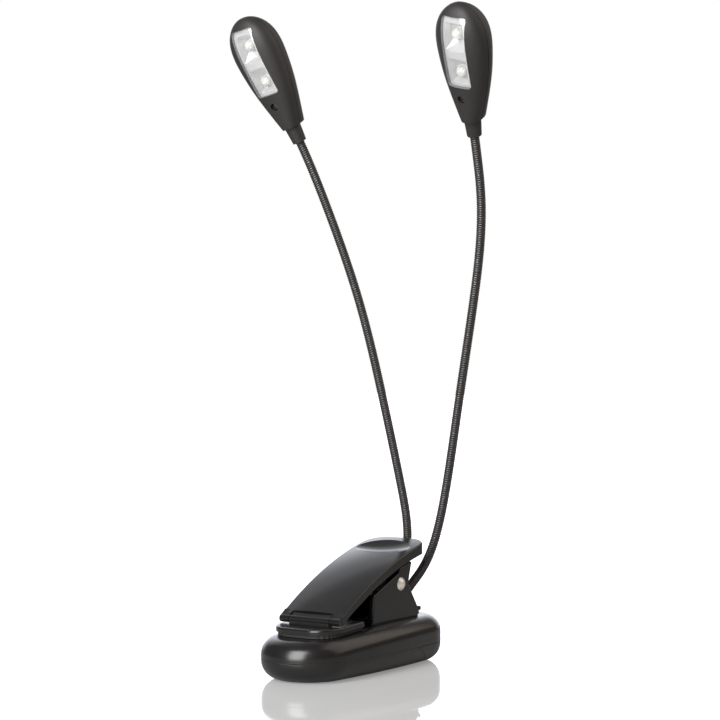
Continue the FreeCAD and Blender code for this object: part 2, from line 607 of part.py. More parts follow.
def neck_piece(curve, start, finish, ball, socket):
    """Bent tube between two distances along the neck, with a ball at its end and a cup at its start."""
    spots = [curve.value(curve.parameterAtDistance(d, curve.FirstParameter))
             for d in (start, (start + finish) / 2, finish)]
    arc = Part.Arc(*spots)
    path = Part.Wire(arc.toShape())
    tangent = arc.tangent(arc.FirstParameter)[0]
    circles = [Part.Wire(Part.makeCircle(r, spots[0], tangent)) for r in (NECK_RADIUS, NECK_BORE)]
    tube, bore = [path.makePipeShell([c], True, False) for c in circles]
    if ball:
        tube = tube.fuse(Part.makeSphere(NECK_RADIUS, spots[2]))
    if socket:
        tube = tube.cut(Part.makeSphere(NECK_SOCKET_RADIUS, spots[0]))
    return tube.cut(bore)


def make_necks():
    for side in ("left", "right"):
        curve = neck_curve(side)
        stations = [2.0] + [distance for _, distance in NECK_JOINTS] + [curve.length()]
        last = len(stations) - 2
        for i in range(last + 1):
            piece = neck_piece(curve, stations[i], stations[i + 1], ball=i < last, socket=i > 0)
            if i == last:
                end, lean = Vector(*NECK_ENDS[side]), Vector(*HEAD_LEANS[side])
                stem = Part.makeCylinder(NECK_STEM_RADIUS, 6.5, end - lean * 1.5, lean)
                piece = piece.fuse(stem).removeSplitter()
            save("%s_neck_%d" % (side, i + 1), piece)


# ---------------------------------------------------------------- heads, drawn upright: front is -Y

def head_growth(station, low_high):
    """A half-size of the teardrop at a station along the head, between its collar and widest sizes."""
    low, high = low_high
    if station < HEAD_WIDEST:
        share = (station - COLLAR_LENGTH) / (HEAD_WIDEST - COLLAR_LENGTH)
        return low + (high - low) * math.sin(math.pi / 2 * share)
    share = (station - HEAD_WIDEST) / (HEAD_LENGTH - HEAD_WIDEST)
    return high * math.sqrt(max(1 - share ** 2, 0))


def head_section(station, inset):
    """Squared oval, deeper at the front than at the back."""
    width = head_growth(station, HEAD_HALF_WIDTHS) - inset
    front = head_growth(station, HEAD_FRONT_DEPTHS) - inset
    back = head_growth(station, HEAD_BACK_DEPTHS) - inset
    power = 2 / HEAD_SQUARENESS
    points = []
    for i in range(24):
        angle = math.radians(15 * i)
        c, s = math.cos(angle), math.sin(angle)
        depth = back if s > 0 else front
        points.append(Vector(math.copysign(abs(c) ** power * width, c),
                             math.copysign(abs(s) ** power * depth, s), station))
    loop = Part.BSplineCurve()
    loop.interpolate(points, True)
    return Part.Wire(loop.toShape())


def head_form(inset):
    top = HEAD_LENGTH - inset - 0.1
    bottom = COLLAR_LENGTH if inset == 0 else COLLAR_LENGTH + inset
    stations = [bottom + (HEAD_WIDEST - bottom) * i / 5 for i in range(5)]
    for share in (0.0, 0.45, 0.72, 0.88, 0.96, 1.0):
        stations.append(HEAD_WIDEST + (top - HEAD_WIDEST) * share)
    return Part.makeLoft([head_section(s, inset) for s in stations], True, False)


def window_prism(inset, front, back):
    """Rounded upright rectangle of the window, inset all round, between two depths."""
    half = WINDOW_HALF_WIDTH - inset
    points = [Vector(-half, front, WINDOW_BOTTOM + inset), Vector(half, front, WINDOW_BOTTOM + inset),
              Vector(half, front, WINDOW_TOP - inset), Vector(-half, front, WINDOW_TOP - inset)]
    wire = rounded_wire(points, [max(WINDOW_CORNER - inset, 0.4)] * 4)
    return Part.Face(wire).extrude(Vector(0, back - front, 0))


def frustum(half_x, z0, z1, front, half_x_back, z0_back, z1_back, back):
    """Solid between two upright rectangles at two depths."""
    loops = []
    for half, low, high, y in ((half_x, z0, z1, front), (half_x_back, z0_back, z1_back, back)):
        points = [Vector(-half, y, low), Vector(half, y, low), Vector(half, y, high), Vector(-half, y, high)]
        loops.append(Part.makePolygon(points + points[:1]))
    return Part.makeLoft(loops, True, True)


def led(station):
    """Round LED facing the front, its flange on the board."""
    body = Part.makeCylinder(LED_RADIUS, LED_BODY, Vector(0, BOARD_FRONT, station), Y_AXIS * -1)
    flange = Part.makeCylinder(LED_RADIUS + 0.4, 0.9, Vector(0, BOARD_FRONT, station), Y_AXIS * -1)
    tip = BOARD_FRONT - LED_BODY
    dome = Part.makeSphere(LED_RADIUS, Vector(0, tip, station)).common(box(-5, 5, tip - 5, tip, 0, 80))
    return body.fuse(flange).fuse(dome).removeSplitter()


def reflector(inner):
    """Block behind the window with one square pyramid well for each LED."""
    block = window_prism(0.25, -30, BOARD_FRONT).common(inner)
    front = -head_growth(HEAD_WIDEST, HEAD_FRONT_DEPTHS)
    middle = sum(LED_STATIONS) / 2
    spans = ((WINDOW_BOTTOM + 0.3, middle - 0.3), (middle + 0.3, WINDOW_TOP - 0.3))
    for (low, high), station in zip(spans, LED_STATIONS):
        half = LED_RADIUS + 0.6
        block = block.cut(frustum(WINDOW_HALF_WIDTH - 0.5, low, high, front,
                                  half, station - half, station + half, BOARD_FRONT - 1.0))
        block = block.cut(Part.makeCylinder(LED_RADIUS + 0.5, 3.0, Vector(0, BOARD_FRONT - 2.5, station), Y_AXIS))
    return block.removeSplitter()


def head_pieces():
    """All pieces of one head, upright, by name."""
    outer, inner = head_form(0), head_form(HEAD_WALL)
    groove = box(-30, 30, HEAD_PARTING - HEAD_GROOVE_WIDTH / 2, HEAD_PARTING + HEAD_GROOVE_WIDTH / 2, 0, 80)
    shell = outer.cut(inner).cut(groove.cut(head_form(HEAD_GROOVE_DEPTH)))
    front_half = box(-30, 30, -30, HEAD_PARTING, 0, 80)
    back_half = box(-30, 30, HEAD_PARTING, 30, 0, 80)
    screw_depth = -head_growth(HEAD_SCREW_STATION, HEAD_FRONT_DEPTHS)
    button_depth = head_growth(BUTTON_STATION, HEAD_BACK_DEPTHS)

    neck_hole = Part.makeCylinder(NECK_RADIUS, 14, Vector(0, 0, 0))
    collar = Part.makeCone(COLLAR_BOTTOM_RADIUS, COLLAR_TOP_RADIUS, COLLAR_LENGTH)
    stem = Part.makeCylinder(3.0, 3.0, Vector(0, 0, COLLAR_LENGTH))
    collar = collar.fuse(stem).cut(neck_hole)

    boss = Part.makeCylinder(2.6, HEAD_PARTING + 6.4, Vector(0, -6.4, HEAD_SCREW_STATION), Y_AXIS)
    screw_well = Part.makeCylinder(HEAD_SCREW_RADIUS + 0.1, 4.6,
                                   Vector(0, screw_depth - 2, HEAD_SCREW_STATION), Y_AXIS)
    screw_hole = Part.makeCylinder(0.8, 12, Vector(0, -6, HEAD_SCREW_STATION), Y_AXIS)
    stem_hole = Part.makeCylinder(3.0, 6, Vector(0, 0, COLLAR_LENGTH - 2))
    front = shell.fuse(boss.common(outer)).common(front_half)
    front = front.cut(window_prism(0, -30, -3)).cut(screw_well).cut(screw_hole).cut(stem_hole)
    back_boss = Part.makeCylinder(2.2, 12, Vector(0, HEAD_PARTING, HEAD_SCREW_STATION), Y_AXIS)
    button_hole = Part.makeCylinder(BUTTON_RADIUS + 0.25, 10, Vector(0, HEAD_PARTING + 1, BUTTON_STATION), Y_AXIS)
    back = shell.fuse(back_boss.common(outer)).common(back_half)
    back = back.cut(button_hole).cut(stem_hole)
    back = back.cut(Part.makeCylinder(0.6, 3, Vector(0, HEAD_PARTING, HEAD_SCREW_STATION), Y_AXIS))

    lens = shell.common(window_prism(LENS_GAP, -30, -3))
    screw_top = screw_depth + 0.8
    screw = Part.makeCylinder(HEAD_SCREW_RADIUS, 1.2, Vector(0, screw_top, HEAD_SCREW_STATION), Y_AXIS)
    screw = screw.fuse(Part.makeCylinder(0.6, 8.6, Vector(0, screw_top, HEAD_SCREW_STATION), Y_AXIS))
    for half_x, half_z in ((0.9, 0.2), (0.2, 0.9)):
        screw = screw.cut(box(-half_x, half_x, screw_top - 1, screw_top + 0.6,
                              HEAD_SCREW_STATION - half_z, HEAD_SCREW_STATION + half_z))

    board_back = BOARD_FRONT + BOARD_THICKNESS
    board = box(-5.0, 5.0, BOARD_FRONT, board_back, WINDOW_BOTTOM + 0.4, WINDOW_TOP - 2)
    switch = box(-3, 3, board_back, board_back + 2.4, BUTTON_STATION - 3, BUTTON_STATION + 3)
    plunger = Part.makeCylinder(1.5, 0.8, Vector(0, board_back + 2.4, BUTTON_STATION), Y_AXIS)
    button_start = board_back + 3.2 + BUTTON_TRAVEL + 0.1
    button = Part.makeCylinder(BUTTON_RADIUS, button_depth + 0.9 - button_start,
                               Vector(0, button_start, BUTTON_STATION), Y_AXIS)
    crown = [e for e in button.Edges if e.BoundBox.YMin > button_depth + 0.8]
    button = button.makeFillet(0.5, crown)
    return {
        "front_shell": front.removeSplitter(),
        "back_shell": back.removeSplitter(),
        "window": lens,
        "reflector": reflector(head_form(HEAD_WALL + 0.05)),
        "leds": Part.makeCompound([led(s) for s in LED_STATIONS]),
        "led_board": board,
        "screw": screw.removeSplitter(),
        "switch": switch.fuse(plunger),
        "button": button,
        "collar": collar.removeSplitter(),
    }


def head_placement(side):
    """Stand the upright head on the end of its neck, face forwards and down."""
    up = Vector(*HEAD_LEANS[side]).normalize()
    forward = Y_AXIS * -1
    face = (forward - up * up.dot(forward)).normalize()
    across = up.cross(face)
    end = Vector(*NECK_ENDS[side])
    matrix = FreeCAD.Matrix(across.x, -face.x, up.x, end.x,
                            across.y, -face.y, up.y, end.y,
                            across.z, -face.z, up.z, end.z, 0, 0, 0, 1)
    turn = FreeCAD.Placement(Vector(0, 0, 0), FreeCAD.Rotation(Z_AXIS, HEAD_TURNS[side]))
    return FreeCAD.Placement(matrix).multiply(turn)


def make_heads():
    for side in ("left", "right"):
        placement = head_placement(side)
        for name, shape in head_pieces().items():
            shape.Placement = placement.multiply(shape.Placement)
            save("%s_head_%s" % (side, name), shape)


def main():
    os.makedirs("parts", exist_ok=True)
    outer, inner = pebble(0), pebble(BASE_WALL)
    bay_front, bay_rear = make_base(outer, inner)
    make_cells(bay_front, bay_rear)
    make_tower(outer)
    save("neck_bushings", *make_bushings())
    make_pivot()
    make_torsion_spring()
    make_lever()
    make_foot()
    make_necks()
    make_heads()


main()
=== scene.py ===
import json
import math

import bmesh
import bpy
from mathutils import Matrix, Vector


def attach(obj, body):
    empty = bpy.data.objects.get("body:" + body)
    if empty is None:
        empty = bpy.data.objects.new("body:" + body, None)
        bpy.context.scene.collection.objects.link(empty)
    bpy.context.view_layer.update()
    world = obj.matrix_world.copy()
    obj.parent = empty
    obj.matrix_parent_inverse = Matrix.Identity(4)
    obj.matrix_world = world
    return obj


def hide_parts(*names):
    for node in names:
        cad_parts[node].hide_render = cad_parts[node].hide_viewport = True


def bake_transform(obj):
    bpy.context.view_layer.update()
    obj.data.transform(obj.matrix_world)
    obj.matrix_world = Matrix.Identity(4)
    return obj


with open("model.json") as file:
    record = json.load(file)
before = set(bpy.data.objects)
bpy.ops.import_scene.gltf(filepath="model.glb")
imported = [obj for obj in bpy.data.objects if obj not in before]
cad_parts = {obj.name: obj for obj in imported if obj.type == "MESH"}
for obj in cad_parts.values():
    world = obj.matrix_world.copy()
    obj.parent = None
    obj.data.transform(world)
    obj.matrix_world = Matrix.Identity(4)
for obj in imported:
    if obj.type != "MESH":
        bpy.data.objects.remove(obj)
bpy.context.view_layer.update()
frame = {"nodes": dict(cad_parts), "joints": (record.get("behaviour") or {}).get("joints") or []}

bl_info = {
    "name": "Clip-on Reading Lamp",
    "version": (1, 0, 0),
    "blender": (4, 5, 0),
    "location": "View3D > Sidebar > Lamp",
    "description": "Builds a clip-on reading lamp with two gooseneck heads around its solid model",
    "category": "Object",
}

MM = 0.001
SIDES = ("left", "right")
UP = Vector((0, 0, 1))

# Height of the parting line round the base, in millimetres, where the base's colour carries a line of painted
# shade
SEAM_Z = 8.7

# Battery cells: middle of their length and the half lengths of sleeve and band, in millimetres
CELL_MIDDLE_Y = 13.2
CELL_SLEEVE = 21.6
CELL_BAND = 11.0

# Neck route in millimetres, mirrored for the left side up to the foot of each collar
ROUTE = [
    (6.0, 27.0, 26.4), (6.0, 36.8, 33.4), (6.2, 46.8, 40.4), (6.9, 53.4, 48.5),
    (9.0, 57.0, 61.0), (12.6, 57.4, 78.0), (20.6, 55.1, 116.0), (31.6, 50.6, 164.0),
    (42.6, 38.7, 210.0),
]
COLLAR_FOOT = {"left": (-48.2, 25.4, 239.0), "right": (46.7, 26.3, 236.2)}
HEAD_LEAN = {"left": (-0.183, -0.461, 0.868), "right": (0.20, -0.533, 0.822)}
HEAD_TURN = {"left": -4.7, "right": -0.9}

# Ridged lengths, in millimetres: start and cuts along the route, and how far each bend reaches
RIDGES_START = 2.0
RIDGES_CUTS = (30, 55, 92, 136, 183.5)

# Heads, upright, face towards -Y, in millimetres: stations run up from the collar's foot
BOARD_FRONT = -1.4
LED_STATIONS = (32.6, 50.4)
LED_RADIUS = 2.5
LED_BODY = 1.9
LED_FLANGE_RADIUS = 2.88
CUP_RIM = BOARD_FRONT - 2.5
CUP_RADIUS = 1.95
SCREW_STATION = 20.2
SCREW_RADIUS = 1.75
RECESS_ARM = 0.95
RECESS_WIDTH = 0.22
RECESS_DEPTH = 0.65
BUTTON_STATION = 45.0
BUTTON_RADIUS = 3.6
WELL_ROUND = 0.16

# Stage, in metres
TABLE_SIZE = 12
TABLE_DROP = 0.0002
LIGHT_AIM = Vector((0, 0, 0.08))
CAMERA_SIDESTEP = 0.0029


# ---------------------------------------------------------------- shading

class Signal:
    """A number on its way to a shader; arithmetic on it adds Math nodes."""

    def __init__(self, finish, socket):
        self.finish = finish
        self.socket = socket

    def maths(self, operation, *values):
        return self.finish.node("ShaderNodeMath", {"operation": operation}, values)

    def __add__(self, other):
        return self.maths("ADD", self, other)

    def __sub__(self, other):
        return self.maths("SUBTRACT", self, other)

    def __rsub__(self, other):
        return self.maths("SUBTRACT", other, self)

    def __mul__(self, other):
        return self.maths("MULTIPLY", self, other)

    def __truediv__(self, other):
        return self.maths("DIVIDE", self, other)

    def __abs__(self):
        return self.maths("ABSOLUTE", self)


class Finish:
    """A node tree, by default a new material's, with its Principled shader."""

    def __init__(self, name, tree=None, **plain):
        self.material = None
        if tree is None:
            self.material = bpy.data.materials.new(name)
            self.material.use_nodes = True
            tree = self.material.node_tree
        self.tree = tree
        self.shader = tree.nodes.get("Principled BSDF")
        for socket, value in plain.items():
            self.feed(socket.replace("_", " "), value)

    def node(self, kind, settings=None, values=(), output=0):
        node = self.tree.nodes.new(kind)
        for name, value in (settings or {}).items():
            setattr(node, name, value)
        pairs = values.items() if isinstance(values, dict) else enumerate(values)
        for key, value in pairs:
            if isinstance(value, Signal):
                self.tree.links.new(value.socket, node.inputs[key])
            else:
                node.inputs[key].default_value = value
        return Signal(self, node.outputs[output])

    def feed(self, socket, value):
        if isinstance(value, Signal):
            self.tree.links.new(value.socket, self.shader.inputs[socket])
        else:
            self.shader.inputs[socket].default_value = value

    def place(self):
        """Position on the object, in metres."""
        return self.node("ShaderNodeTexCoord", output="Object")

    def axis(self, name):
        """One coordinate of the position, in millimetres."""
        return self.node("ShaderNodeSeparateXYZ", values=(self.place(),), output=name) / MM

    def noise(self, size, detail=3.0, distortion=0.0):
        """Cloudy values from 0 to 1 with features of a size in millimetres."""
        return self.node("ShaderNodeTexNoise", values={
            "Vector": self.place(), "Scale": 1 / (size * MM), "Detail": detail, "Distortion": distortion})

    def cells(self, size):
        """Distance to the nearest of many points, a size in millimetres apart."""
        return self.node("ShaderNodeTexVoronoi", values={"Vector": self.place(), "Scale": 1 / (size * MM)})

    def step(self, value, low, high):
        """0 below low, 1 above high, smooth between."""
        return self.node("ShaderNodeMapRange", {"interpolation_type": "SMOOTHSTEP"}, (value, low, high))

    def blend(self, share, first, second):
        """Mix of two colours."""
        return self.node("ShaderNodeMix", {"data_type": "RGBA"}, {0: share, 6: first, 7: second}, output=2)

    def bump(self, *layers):
        """Stack of (height, millimetres deep) layers on the normal."""
        normal = None
        for height, depth in layers:
            values = {"Height": height, "Distance": depth * MM, "Strength": 1.0}
            if normal:
                values["Normal"] = normal
            normal = self.node("ShaderNodeBump", values=values)
        self.feed("Normal", normal)


def rgb(colour):
    return (*colour[:3], 1.0)


# ---------------------------------------------------------------- modelling by hand

def deselect_all():
    bpy.ops.object.select_all(action="DESELECT")


def pick(*pieces):
    deselect_all()
    for piece in pieces:
        piece.select_set(True)
    bpy.context.view_layer.objects.active = pieces[0]


def edit(piece):
    """Open a piece for editing with nothing selected and return its editable mesh."""
    pick(piece)
    bpy.ops.object.mode_set(mode="EDIT")
    bpy.ops.mesh.select_all(action="DESELECT")
    return bmesh.from_edit_mesh(piece.data)


def close_edit(piece):
    bmesh.update_edit_mesh(piece.data)
    bpy.ops.object.mode_set(mode="OBJECT")


def settle(piece):
    """Put a finished piece's place into its mesh."""
    pick(piece)
    bpy.ops.object.transform_apply(location=True, rotation=True, scale=True)


def modify(piece, kind, **settings):
    """Add a modifier, set it and apply it."""
    pick(piece)
    bpy.ops.object.modifier_add(type=kind)
    modifier = piece.modifiers[-1]
    for name, value in settings.items():
        setattr(modifier, name, value)
    bpy.ops.object.modifier_apply(modifier=modifier.name)


def smooth(piece, angle):
    pick(piece)
    bpy.ops.object.shade_smooth_by_angle(angle=math.radians(angle))


def outward(piece):
    """Weld a piece's corners and turn its faces outwards."""
    edit(piece)
    bpy.ops.mesh.select_all(action="SELECT")
    bpy.ops.mesh.remove_doubles(threshold=1e-6)
    bpy.ops.mesh.normals_make_consistent(inside=False)
    bpy.ops.object.mode_set(mode="OBJECT")


def dress(piece, finish):
    piece.data.materials.clear()
    piece.data.materials.append(finish)


def dress_node(node, finish):
    """Give a CAD node a better material."""
    solid = frame["nodes"][node]
    for slot in solid.material_slots:
        slot.material = finish
    if not solid.material_slots:
        solid.data.materials.append(finish)


def stack(name, loops):
    """Extrude a round face from loop to loop, placing each new loop's corners, and close both ends."""
    deselect_all()
    bpy.ops.mesh.primitive_circle_add(vertices=len(loops[0]), radius=0.01, fill_type="NGON")
    piece = bpy.context.object
    piece.name = name
    mesh = edit(piece)
    mesh.faces.ensure_lookup_table()
    for corner, spot in zip(mesh.faces[0].verts, loops[0]):
        corner.co = spot
    mesh.faces[0].select = True
    bmesh.update_edit_mesh(piece.data)
    for loop in loops[1:]:
        bpy.ops.mesh.extrude_region_move()
        mesh = bmesh.from_edit_mesh(piece.data)
        face = next(f for f in mesh.faces if f.select)
        for corner, spot in zip(face.verts, loop):
            corner.co = spot
        bmesh.update_edit_mesh(piece.data)
    bpy.ops.object.mode_set(mode="OBJECT")
    outward(piece)
    return piece


def welded_copy(node, name, angle=30):
    """A piece with a CAD node's own form, welded and evenly shaded."""
    piece = frame["nodes"][node].copy()
    piece.data = piece.data.copy()
    piece.name = name
    bpy.context.scene.collection.objects.link(piece)
    piece.parent = None
    pick(piece)
    bpy.ops.mesh.customdata_custom_splitnormals_clear()
    edit(piece)
    bpy.ops.mesh.select_all(action="SELECT")
    bpy.ops.mesh.remove_doubles(threshold=2e-6)
    bpy.ops.object.mode_set(mode="OBJECT")
    smooth(piece, angle)
    modify(piece, "WEIGHTED_NORMAL", keep_sharp=True)
    return piece


def carve(piece, cutter):
    """Cut one piece out of another and remove the cutter."""
    modify(piece, "BOOLEAN", object=cutter, operation="DIFFERENCE", solver="EXACT")
    bpy.data.objects.remove(cutter)


def join(name, pieces):
    pick(*pieces)
    bpy.ops.object.join()
    pieces[0].name = name
    return pieces[0]


# ---------------------------------------------------------------- sizes and colours a user may change

class ShellSettings(bpy.types.PropertyGroup):
    colour: bpy.props.FloatVectorProperty(
        name="Shell colour", description="Colour of the moulded shells", subtype="COLOR",
        default=(0.0085, 0.0078, 0.0075), min=0, max=1)
    dullness: bpy.props.FloatProperty(
        name="Dullness", description="Multiplies the roughness of every moulded shell",
        default=1, min=0.2, max=3)
    grain: bpy.props.FloatProperty(
        name="Grain", description="Depth of the moulded grain in millimetres", default=0.002, min=0, max=0.1)


class NeckSettings(bpy.types.PropertyGroup):
    pitch: bpy.props.FloatProperty(
        name="Pitch", description="Distance between the turns of the gooseneck", default=1.05 * MM,
        subtype="DISTANCE", unit="LENGTH", min=0.0005, max=0.003)
    radius: bpy.props.FloatProperty(
        name="Radius", description="Outer radius of the gooseneck", default=2.12 * MM,
        subtype="DISTANCE", unit="LENGTH", min=0.001, max=0.004)
    groove: bpy.props.FloatProperty(
        name="Groove", description="Depth between the turns", default=0.3 * MM,
        subtype="DISTANCE", unit="LENGTH", min=0, max=0.001)
    colour: bpy.props.FloatVectorProperty(
        name="Neck colour", description="Colour of the blackened steel", subtype="COLOR",
        default=(0.078, 0.075, 0.073), min=0, max=1)


class StageSettings(bpy.types.PropertyGroup):
    azimuth: bpy.props.FloatProperty(
        name="View angle", description="Angle of the camera to the lamp's front", subtype="ANGLE",
        unit="ROTATION", default=math.radians(34.5))
    distance: bpy.props.FloatProperty(
        name="View distance", description="Distance from the camera to the lamp", subtype="DISTANCE",
        unit="LENGTH", default=0.8875, min=0.3, max=3)
    height: bpy.props.FloatProperty(
        name="View height", description="Height of the camera over the table", subtype="DISTANCE",
        unit="LENGTH", default=0.1367, min=0.01, max=2)
    mirror: bpy.props.FloatProperty(
        name="Table gloss", description="Share of the table's mirror reflection", subtype="FACTOR",
        default=0.5, min=0, max=1)


SETTINGS = {"lamp_shell": ShellSettings, "lamp_neck": NeckSettings, "lamp_stage": StageSettings}


# ---------------------------------------------------------------- finishes

def moulded_plastic(name, roughness, grain=1.0, lift=0.0, seam=None):
    """Satin black moulding with fine grain; lift makes it paler, and a seam is a parting line's height, where
    the colour carries a dark line of painted shade for the parting groove's shadow.
    """
    shell = bpy.context.scene.lamp_shell
    finish = Finish(name, IOR=1.49)
    cloud = finish.noise(9.0, 3.0)
    grit = finish.noise(0.5, 2.0)
    leather = finish.step(finish.cells(0.7), 0.15, 0.6)
    dark = [channel * (0.8 + lift) for channel in shell.colour]
    light = [channel * (1.35 + lift) for channel in shell.colour]
    colour = finish.blend(cloud, rgb(dark), rgb(light))
    roughness = cloud * 0.04 + grit * 0.03 + (roughness * shell.dullness - 0.035)
    layers = [(grit, shell.grain * grain), (leather, shell.grain * grain * 0.6)]
    if seam is not None:
        # Painted shade: the colour is darkened along the seam height in place of the parting groove's shadow,
        # with rougher skin and a bump
        line = 1 - finish.step(abs(finish.axis("Z") - seam), 0.03, 0.16)
        colour = finish.node("ShaderNodeMix", {"data_type": "RGBA", "blend_type": "MULTIPLY"},
                             {0: line, 6: colour, 7: (0.35, 0.35, 0.35, 1)}, output=2)
        roughness = roughness + line * 0.3
        layers.append((1 - line, 0.12))
    finish.feed("Base Color", colour)
    finish.feed("Roughness", roughness)
    finish.bump(*layers)
    return finish.material


def bright_steel(name, tint=(0.78, 0.74, 0.67), roughness=0.2, metal=1.0):
    """Polished metal with faint clouds; a lower metal share is a softer shine."""
    finish = Finish(name, Metallic=metal)
    cloud = finish.noise(1.2, 4.0)
    finish.feed("Base Color", finish.blend(cloud, rgb([c * 0.86 for c in tint]), rgb(tint)))
    finish.feed("Roughness", cloud * 0.14 + (roughness - 0.05))
    finish.bump((finish.noise(0.5, 3.0), 0.01))
    return finish.material


def blackened_steel(name):
    """Dark wound steel with painted glints: paler, smoother spots in place of the highlights on its ridges.
    """
    neck = bpy.context.scene.lamp_neck
    finish = Finish(name, Metallic=0.85)
    cloud = finish.noise(3.0, 4.0)
    # Painted highlights: random spots made paler and smoother, standing in for glints on the ridges
    painted_glints = finish.step(finish.noise(0.7, 3.0), 0.52, 0.72)
    base = finish.blend(cloud, rgb([c * 0.7 for c in neck.colour]), rgb(neck.colour))
    finish.feed("Base Color", finish.blend(painted_glints * 0.5, base, rgb([c * 2.6 for c in neck.colour])))
    finish.feed("Roughness", 0.44 - painted_glints * 0.12 + cloud * 0.08)
    finish.bump((finish.noise(0.3, 2.0), 0.012))
    return finish.material


def soft_rubber(name, ribs=0.0):
    """Dull rubber; ribs is their pitch from front to back in millimetres."""
    finish = Finish(name)
    cloud = finish.noise(4.0, 4.0)
    finish.feed("Base Color", finish.blend(cloud, (0.008, 0.008, 0.008, 1), (0.018, 0.017, 0.016, 1)))
    finish.feed("Roughness", cloud * 0.15 + 0.62)
    layers = [(finish.noise(0.25, 2.0), 0.02)]
    if ribs:
        along = finish.axis("Y") * (2 * math.pi / ribs)
        layers.append((along.maths("SINE", along), 0.12))
    finish.bump(*layers)
    return finish.material


def silvered_plastic(name):
    """Vacuum-metallised reflector with a slightly wavy skin."""
    finish = Finish(name, Metallic=0.5)
    cloud = finish.noise(1.5, 3.0)
    finish.feed("Base Color", finish.blend(cloud, (0.5, 0.5, 0.51, 1), (0.56, 0.56, 0.56, 1)))
    finish.feed("Roughness", cloud * 0.08 + 0.17)
    finish.bump((finish.noise(2.2, 1.0), 0.012))
    return finish.material


def clear_plastic(name):
    """Nearly invisible window with its own shine."""
    finish = Finish(name, IOR=1.49)
    cloud = finish.noise(5.0, 2.0)
    finish.feed("Base Color", (0.9, 0.9, 0.9, 1))
    finish.feed("Alpha", cloud * 0.04 + 0.08)
    finish.feed("Roughness", cloud * 0.04 + 0.05)
    return finish.material


def led_resin(name):
    """Clear epoxy with a wavy skin."""
    finish = Finish(name, IOR=1.5)
    wave = finish.noise(1.4, 1.5, 1.0)
    finish.feed("Base Color", finish.blend(wave, (0.5, 0.5, 0.48, 1), (0.88, 0.87, 0.82, 1)))
    finish.feed("Roughness", wave * 0.06 + 0.04)
    finish.feed("Alpha", finish.step(wave, 0.35, 0.7) * 0.3 + 0.5)
    finish.bump((wave, 0.6))
    return finish.material


def led_phosphor(name):
    """Pale yellow phosphor."""
    finish = Finish(name)
    cloud = finish.noise(0.6, 2.0)
    finish.feed("Base Color", finish.blend(cloud, (0.9, 0.86, 0.55, 1), (0.98, 0.96, 0.82, 1)))
    finish.feed("Roughness", cloud * 0.2 + 0.4)
    return finish.material


def dark_screw(name):
    """Blackened screw steel with lighter clouds."""
    finish = Finish(name, Metallic=1.0)
    cloud = finish.noise(0.5, 3.0)
    finish.feed("Base Color", finish.blend(cloud, (0.08, 0.078, 0.075, 1), (0.2, 0.19, 0.18, 1)))
    finish.feed("Roughness", cloud * 0.15 + 0.2)
    finish.bump((cloud, 0.02))
    return finish.material


def circuit_board(name):
    """Dark green laminate with lighter spots that lie a little lower."""
    finish = Finish(name)
    mask = finish.step(finish.cells(1.6), 0.28, 0.34)
    finish.feed("Base Color", finish.blend(mask, (0.1, 0.3, 0.13, 1), (0.02, 0.1, 0.04, 1)))
    finish.feed("Roughness", mask * 0.15 + 0.35)
    finish.bump((mask, 0.03))
    return finish.material


def cell_wrap(name):
    """Plain wrapped cell: silver ends and a pale sleeve with a dark band round its middle."""
    finish = Finish(name)
    y = finish.axis("Y")
    ends = finish.step(abs(y - CELL_MIDDLE_Y), CELL_SLEEVE, CELL_SLEEVE + 0.3)
    pale = finish.step(abs(y - CELL_MIDDLE_Y), CELL_BAND, CELL_BAND + 0.3)
    wrap = finish.blend(pale, (0.03, 0.05, 0.09, 1), (0.35, 0.37, 0.4, 1))
    finish.feed("Base Color", finish.blend(ends, wrap, (0.6, 0.6, 0.6, 1)))
    finish.feed("Metallic", ends * 0.9)
    finish.feed("Roughness", finish.noise(2.0) * 0.1 + 0.28)
    return finish.material


# ---------------------------------------------------------------- the stage

def view_axes():
    """Level directions from the camera to the lamp and to the right."""
    stage = bpy.context.scene.lamp_stage
    along = Vector((-math.sin(stage.azimuth), math.cos(stage.azimuth), 0))
    return along, Vector((math.cos(stage.azimuth), math.sin(stage.azimuth), 0))


def soft_light(name, azimuth, elevation, distance, size, power, colour=(1, 1, 1)):
    """Soft panel at an azimuth left of the camera and an elevation, both in degrees, facing the lamp."""
    along, across = view_axes()
    turn, rise = math.radians(azimuth), math.radians(elevation)
    towards = (-along * math.cos(turn) - across * math.sin(turn)) * math.cos(rise) + UP * math.sin(rise)
    bpy.ops.object.light_add(type="AREA", location=LIGHT_AIM + towards * distance)
    lamp = bpy.context.object
    lamp.name = name
    lamp.rotation_euler = (-towards).to_track_quat("-Z", "Y").to_euler()
    lamp.data.shape = "RECTANGLE"
    lamp.data.size, lamp.data.size_y = size
    lamp.data.energy = power
    lamp.data.color = colour
    lamp.visible_camera = False


def seen(finish, mirrored):
    """1 for rays from the camera or through clear pieces, and a share of it for mirror rays."""
    def kind(output):
        return finish.node("ShaderNodeLightPath", output=output)

    total = kind("Is Camera Ray") + kind("Is Transmission Ray") + kind("Is Glossy Ray") * mirrored
    return total.maths("MINIMUM", total, 1.0)


